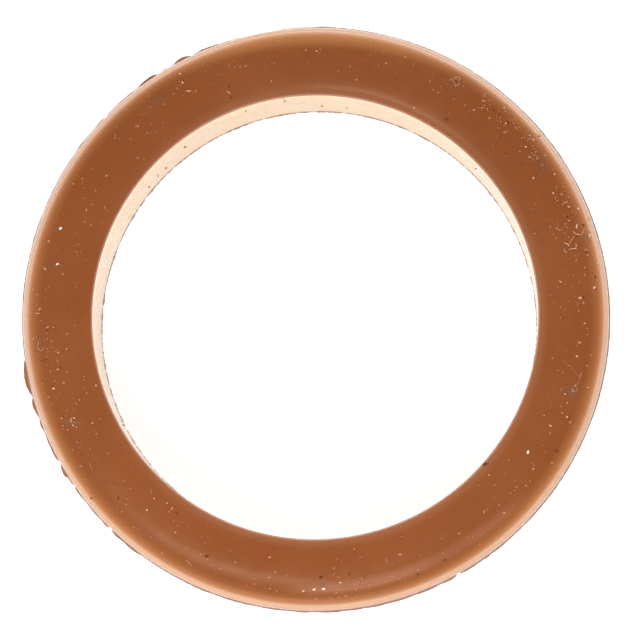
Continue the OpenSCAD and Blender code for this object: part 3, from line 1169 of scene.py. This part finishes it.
# piece, its grains, the two end colours and the roughness
DIRT_KINDS = [
    ("pale_crumbs", crumb_lumps(PALE_CRUMBS), CRUMB_TAN, CRUMB_SAND, 0.5),
    ("cream_crumbs", crumb_lumps(CREAM_CRUMBS), CRUMB_PEACH, CRUMB_CREAM, 0.5),
    ("white_crumbs", crumb_lumps(WHITE_CRUMBS), CRUMB_WHITE, CRUMB_CHALK, 0.5),
    ("thin_dust", dust_lumps(), DUST_BROWN, DUST_TAN, 0.5),
    ("fine_smudges", smudge_lumps(), SMUDGE_GREY, SMUDGE_PALE, 0.6),
    ("dark_grit", grit_lumps() + wall_lumps(), GRIT_BURNT, GRIT_RUSTY, 0.5),
    # grains of painted shadow beside the crumbs
    ("crumb_shadow_grit", painted_shadow_grains(), SHADOW_GRIT_UMBER, SHADOW_GRIT_BROWN, 0.5),
]
for name, lumps, first, second, rough in DIRT_KINDS:
    add_piece(name, lump_mesh(name, lumps), loose_dirt(name, first, second, rough))
    print(name, len(lumps), "grains")
add_piece("lint", lint_mesh, loose_dirt("lint", LINT_TAN, LINT_CREAM, 0.6))
print("lint laid in", len(FIBRES), "fibres")

# %% [markdown]
# The camera stands where the photograph was taken from: almost straight above, a little
# towards the lower right, and some 0.4 m away. Its angle and distance come from the circles
# of the bore and the shoulder, which a lens draws as slightly shifted ellipses.

# %% Camera
PHOTO_W = 640
LENS_PIXELS = 4000
SENSOR_W = 36
BORE_PIXELS = 446.8
PIXEL = 2 * BORE_R / BORE_PIXELS
TILT = math.radians(6.6)
TOWARDS = math.radians(20.2)
RING_OFFSET = (-5.45, 3.5)

away = Matrix.Rotation(TILT, 3, Vector((math.cos(TOWARDS), math.sin(TOWARDS), 0)))
right, up, back = (away @ Vector(axis) for axis in ((1, 0, 0), (0, 1, 0), (0, 0, 1)))
face_centre = Vector((0, 0, CREST_Z))
eye = face_centre + PIXEL * (LENS_PIXELS * back - RING_OFFSET[0] * right - RING_OFFSET[1] * up)

lens = bpy.data.cameras.new("camera")
lens.sensor_width = SENSOR_W
lens.lens = SENSOR_W * LENS_PIXELS / PHOTO_W
lens.clip_start = 0.01
lens.clip_end = 10
camera = bpy.data.objects.new("camera", lens)
camera.matrix_world = Matrix.Translation(eye) @ away.to_4x4()
bpy.context.scene.collection.objects.link(camera)
bpy.context.scene.camera = camera
print(f"camera {eye.length:.3f} m from the ring, lens {lens.lens:.0f} mm")

# %% [markdown]
# A light tent is the plainest way to show rubber: bright cloth all round, a darker top, and
# a white bench. The world shader makes the tent. Its light falls off evenly from the horizon
# to the top, so the face keeps its brown, and the more a surface turns sideways, the more of
# the bright cloth it mirrors. The far side is a little brighter, as towards a window. The bench
# looks white by its own shader, so no lamp has to be turned up for it.

# %% Tent and bench
TENT_WALL = 3.7
TENT_FAR = 1.2
TENT_TOP = 0.05
WHITE = (1, 1, 1, 1)
BLACK = (0, 0, 0, 1)


def grey(level):
    """A colour without hue."""
    return (level, level, level, 1)


def seen_share(shader):
    """1 for what the camera sees, directly or in a gloss, and 0 for light on its way."""
    rays = [
        shader.node("ShaderNodeLightPath", {}, {}, name)
        for name in ("Is Camera Ray", "Is Glossy Ray", "Is Transmission Ray")
    ]
    return shader.math("MAXIMUM", shader.math("MAXIMUM", rays[0], rays[1]), rays[2])


def light_tent():
    """The world: bright cloth round the ring and dimmer above."""
    world = bpy.data.worlds.new("tent")
    world.use_nodes = True
    shader = Shader(world.node_tree)
    direction = shader.node("ShaderNodeTexCoord", {}, {}, "Generated")
    upward = shader.node("ShaderNodeSeparateXYZ", {}, {0: direction}, "Z")
    sideways = 1 - upward
    far_side = shader.rise(upward.beside("Y"), 0, 1)
    cloth = TENT_TOP + TENT_WALL * sideways * sideways + TENT_FAR * far_side * sideways
    sky = shader.node("ShaderNodeBackground", {}, {"Color": WHITE, "Strength": cloth})
    shader.close(sky, "ShaderNodeOutputWorld")
    bpy.context.scene.world = world


BENCH_SIZE = 6.0
BENCH_COLOUR = 0.75
BENCH_GLOW = 0.75


def bench():
    """The white bench under the ring. It shows a soft shadow close to the ring."""
    material, shader = new_material("bench_white")
    glow = shader.blend(seen_share(shader), BLACK, grey(BENCH_GLOW))
    surface = shader.node(
        "ShaderNodeBsdfPrincipled",
        {},
        {
            "Base Color": grey(BENCH_COLOUR),
            "Roughness": 1.0,
            "Specular IOR Level": 0.0,
            "Emission Color": glow,
            "Emission Strength": 1.0,
        },
    )
    shader.close(surface)
    half = BENCH_SIZE / 2
    corners = [(-half, -half, 0), (half, -half, 0), (half, half, 0), (-half, half, 0)]
    mesh = bpy.data.meshes.new("bench")
    mesh.from_pydata(corners, [], [(0, 1, 2, 3)])
    mesh.materials.append(material)
    floor = bpy.data.objects.new("bench", mesh)
    floor.location.z = -0.01 * MM
    bpy.context.scene.collection.objects.link(floor)
    return floor


light_tent()
bench()
print("tent wall", TENT_WALL, "more on the far side", TENT_FAR, "top", TENT_TOP)

# %% [markdown]
# One small soft box hangs overhead. It hardly adds light, but the crown mirrors it as a soft
# bright patch near the edge of the face, which is how its shape can be read. It is sized and
# placed in degrees, as the ring sees it, because that is what a reflection depends on.

# %% Soft box
BOX_HEIGHT = 3.0
BOX_WARMTH = (1.0, 0.82, 0.6)
BOX_BRIGHTNESS = 4.0
# from and to, in degrees off the zenith
BOX_ALONG_X = (-7.5, -2.4)
BOX_ALONG_Y = (-2.3, 0.5)


def soft_box():
    """A lamp overhead that shows in the gloss."""
    reach = BOX_HEIGHT * math.pi / 180
    lamp = bpy.data.lights.new("soft_box", "AREA")
    lamp.shape = "RECTANGLE"
    lamp.size = (BOX_ALONG_X[1] - BOX_ALONG_X[0]) * reach
    lamp.size_y = (BOX_ALONG_Y[1] - BOX_ALONG_Y[0]) * reach
    lamp.energy = BOX_BRIGHTNESS * math.pi * lamp.size * lamp.size_y
    lamp.color = BOX_WARMTH
    box = bpy.data.objects.new("soft_box", lamp)
    box.location = (sum(BOX_ALONG_X) / 2 * reach, sum(BOX_ALONG_Y) / 2 * reach, BOX_HEIGHT)
    box.visible_camera = False
    bpy.context.scene.collection.objects.link(box)
    return box


hung = soft_box()
print("soft box hangs at", tuple(round(value, 3) for value in hung.location))

# %% [markdown]
# The near side of the ring is a little brighter than the far side, so a second lamp stands
# low on that side and close by, because only a near lamp fades over such a short distance.
# It is kept out of the reflections, where a tent would hide it behind its cloth.

# %% Low lamp
LOW_PLACE = (-0.02, -0.105, 0.135)
LOW_SIZE = 0.06
LOW_POWER = 0.115


def low_lamp():
    """A lamp near the bench that lifts the near side of the ring."""
    lamp = bpy.data.lights.new("low_lamp", "AREA")
    lamp.size = LOW_SIZE
    lamp.energy = LOW_POWER
    stand = bpy.data.objects.new("low_lamp", lamp)
    stand.location = LOW_PLACE
    stand.rotation_euler = Vector(LOW_PLACE).to_track_quat("Z", "Y").to_euler()
    stand.visible_camera = False
    stand.visible_glossy = False
    bpy.context.scene.collection.objects.link(stand)


low_lamp()
bpy.context.scene.view_settings.view_transform = "Standard"
print("low lamp stands at", LOW_PLACE)
